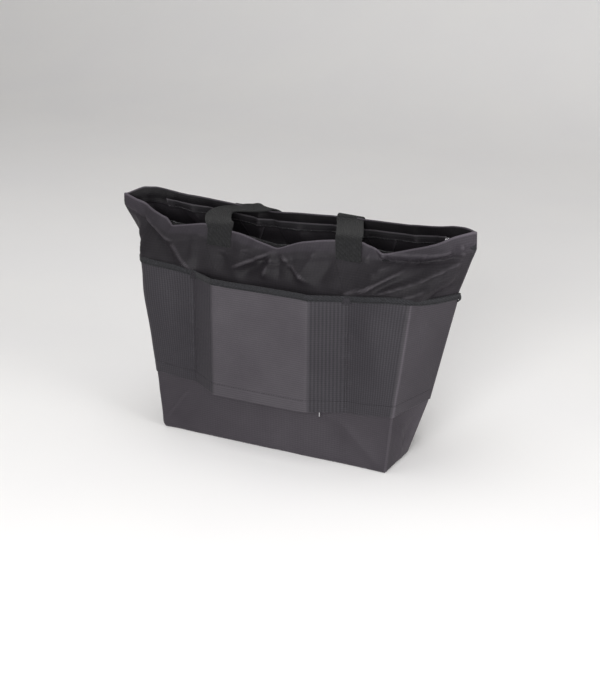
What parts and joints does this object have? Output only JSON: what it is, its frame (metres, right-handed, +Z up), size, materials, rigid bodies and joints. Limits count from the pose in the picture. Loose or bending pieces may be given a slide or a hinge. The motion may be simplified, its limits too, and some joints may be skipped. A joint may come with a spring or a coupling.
{
  "type": "foldable tote bag",
  "caption": "Foldable nylon tote bag with webbing handles, a zip top and a rear band that opens into a sleeve for trolley tubes.",
  "frame": {"origin": "middle of the base, on the surface that the bag stands on", "axes": "+Z up, +X along the bag's width, the trolley sleeve faces -Y"},
  "size_m": [0.5548, 0.2235, 0.3441],
  "materials": {
    "body_cloth": "matte ribbed nylon",
    "band_cloth": "matte ribbed nylon",
    "lining_cloth": "thin nylon lining",
    "binding": "ribbed binding tape",
    "webbing": "woven webbing",
    "zip_tape": "woven zip tape",
    "zip_coil": "nylon coil",
    "thread": "sewing thread",
    "metal": "nickel-plated zinc"
  },
  "bodies": {
    "bag": {"back_panel": "body_cloth", "front_panel": "body_cloth", "base_panel": "body_cloth", "side_seam_left": "binding", "side_seam_right": "binding", "back_facing": "body_cloth", "front_facing": "body_cloth", "back_zip_tape": "zip_tape", "front_zip_tape": "zip_tape", "back_zip_chain": "zip_coil", "front_zip_chain": "zip_coil", "top_zip_tail": "zip_tape", "top_zip_tail_chain": "zip_coil", "top_zip_slider": "metal", "back_band": "band_cloth", "band_binding": "binding", "bar_tacks": "thread", "sleeve_upper_tape": "zip_tape", "sleeve_upper_chain": "zip_coil", "sleeve_lower_tape": "zip_tape", "sleeve_lower_chain": "zip_coil", "sleeve_zip_stops": "metal", "stow_pocket": "lining_cloth", "stow_zip_tape": "zip_tape", "stow_zip_chain": "zip_coil", "stow_zip_stops": "metal", "back_handle_ends": "webbing", "back_handle_patches": "body_cloth", "front_handle_ends": "webbing", "front_handle_patches": "body_cloth"},
    "top_pull": {"top_zip_pull": "metal"},
    "sleeve_slider": {"sleeve_zip_slider": "metal"},
    "sleeve_pull": {"sleeve_zip_pull": "metal"},
    "stow_slider": {"stow_zip_slider": "metal"},
    "stow_pull": {"stow_zip_pull": "metal"},
    "back_legs": {"back_handle_legs": "webbing"},
    "back_loop": {"back_handle_loop": "webbing"},
    "front_handle": {"front_handle_loop": "webbing"}
  },
  "joints": [
    {"name": "back_legs_swing", "type": "hinge", "parent": "bag", "child": "back_legs", "pos_m": [0, -0.06902, 0.33518], "axis": [1, 0, 0], "range_deg": [0, 90]},
    {"name": "back_loop_swing", "type": "hinge", "parent": "back_legs", "child": "back_loop", "pos_m": [0, 0.0789, 0.33518], "axis": [1, 0, 0], "range_deg": [0, 90]},
    {"name": "front_handle_swing", "type": "hinge", "parent": "bag", "child": "front_handle", "pos_m": [0, 0.075, 0.32], "axis": [1, 0, 0], "range_deg": [0, 180]},
    {"name": "sleeve_slider_slide", "type": "slide", "parent": "bag", "child": "sleeve_slider", "axis": [-1, 0, 0], "range_m": [-0.016, 0.168]},
    {"name": "sleeve_pull_swing", "type": "hinge", "parent": "sleeve_slider", "child": "sleeve_pull", "pos_m": [0.083, -0.08337, 0.0907], "axis": [-1, 0, 0], "range_deg": [0, 35]},
    {"name": "stow_slider_slide", "type": "slide", "parent": "bag", "child": "stow_slider", "axis": [-1, 0, 0], "range_m": [0, 0.156]},
    {"name": "stow_pull_swing", "type": "hinge", "parent": "stow_slider", "child": "stow_pull", "pos_m": [0.078, 0.06565, 0.2367], "axis": [-1, 0, 0], "range_deg": [0, 160]},
    {"name": "top_pull_swing", "type": "hinge", "parent": "bag", "child": "top_pull", "pos_m": [0.233, 0, 0.3272], "axis": [-1, 0, 0], "range_deg": [0, 180]}
  ],
  "couplings": [
    {"joint": "back_loop_swing", "follows": "back_legs_swing", "ratio": 1}
  ]
}
